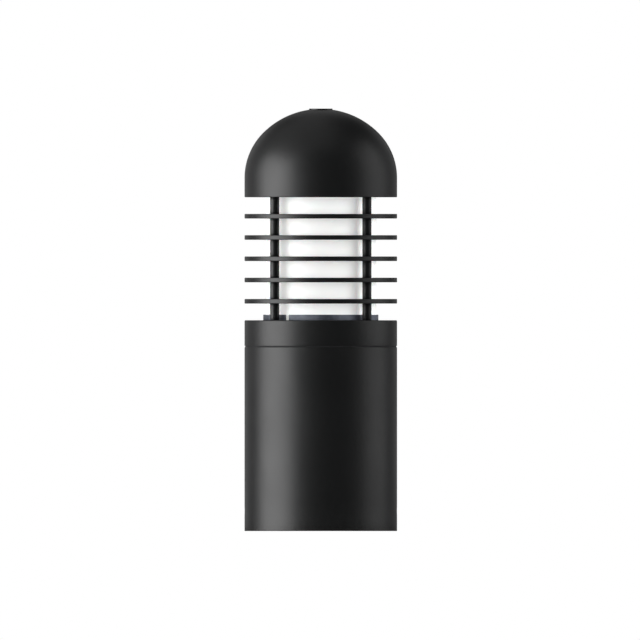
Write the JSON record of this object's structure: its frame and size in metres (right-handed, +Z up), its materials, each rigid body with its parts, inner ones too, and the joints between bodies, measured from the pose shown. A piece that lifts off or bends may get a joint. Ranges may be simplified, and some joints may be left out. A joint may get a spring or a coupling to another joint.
{
  "type": "bollard light",
  "caption": "Round black bollard light: tube post, louvred cage round an opal lens, domed cap held by a crown bolt.",
  "frame": {"origin": "centre of the foot, on the ground", "axes": "+Z up along the post, -Y to the front, +X to the right seen from the front"},
  "size_m": [0.165, 0.165, 0.4569],
  "materials": {
    "powder_black": "satin black powder coat",
    "mild_steel": "galvanised",
    "zinc_steel": "zinc plated",
    "ring_steel": "polished stainless",
    "black_rubber": "matte",
    "white_silicone": "matte translucent white",
    "opal_lens": "opal",
    "white_enamel": "gloss white",
    "lampholder_ceramic": "glazed",
    "brass": "plain",
    "lamp_cap_metal": "nickel plated",
    "lamp_insulator_black": "moulded",
    "lamp_housing_white": "satin",
    "lamp_opal": "frosted",
    "nylon": "satin",
    "white_pvc": "satin",
    "green_pvc": "satin"
  },
  "bodies": {
    "post": {"post_tube": "powder_black", "anchor_plate": "mild_steel", "anchor_ring": "mild_steel", "anchor_weld": "mild_steel", "base_set_screws": "zinc_steel", "post_ring": "mild_steel", "post_ring_weld": "mild_steel", "seam_gasket": "black_rubber", "collar": "powder_black", "lens_clamp_ring": "ring_steel", "lens_gasket_lower": "white_silicone", "lens_tube": "opal_lens", "lens_gasket_upper": "white_silicone", "louvre_1": "powder_black", "louvre_2": "powder_black", "louvre_3": "powder_black", "louvre_4": "powder_black", "louvre_5": "powder_black", "spacers_1": "powder_black", "spacers_2": "powder_black", "spacers_3": "powder_black", "spacers_4": "powder_black", "spacers_5": "powder_black", "spacers_6": "powder_black", "tie_rods": "zinc_steel", "tie_rod_washers": "zinc_steel", "tie_rod_nuts": "zinc_steel", "upper_plate": "powder_black", "upper_reflector": "white_enamel", "crown_pillar": "zinc_steel", "pillar_screw": "zinc_steel", "lamp_pan": "white_enamel", "pan_screws": "zinc_steel", "lead_grommet": "black_rubber", "lampholder": "lampholder_ceramic", "holder_shell": "brass", "holder_contact": "brass", "holder_screws": "zinc_steel", "gear_tray": "zinc_steel", "tray_screws": "zinc_steel", "terminal_block": "nylon", "terminal_screws": "brass", "block_screws": "zinc_steel", "cable_clamp": "zinc_steel", "cable_clamp_screws": "zinc_steel", "earth_stud": "brass", "earth_nuts": "brass", "pan_earth_screw": "brass", "lamp_lead": "white_pvc", "earth_lead": "green_pvc"},
    "dome": {"dome_cap": "powder_black", "dome_gasket": "black_rubber", "crown_seal": "black_rubber"},
    "crown_bolt": {"crown_bolt": "powder_black", "crown_clip": "zinc_steel"},
    "lamp": {"lamp_cap": "lamp_cap_metal", "lamp_insulator": "lamp_insulator_black", "lamp_contact": "brass", "lamp_housing": "lamp_housing_white", "lamp_globe": "lamp_opal"}
  },
  "joints": [
    {"name": "dome_lift", "type": "slide", "parent": "post", "child": "dome", "axis": [0, 0, 1], "range_m": [0, 0.1]},
    {"name": "crown_bolt_turn", "type": "hinge", "parent": "dome", "child": "crown_bolt", "pos_m": [0, 0, 0.44], "axis": [0, 0, 1], "continuous": true},
    {"name": "lamp_turn", "type": "hinge", "parent": "post", "child": "lamp", "pos_m": [0, 0, 0.24], "axis": [0, 0, 1], "continuous": true}
  ]
}
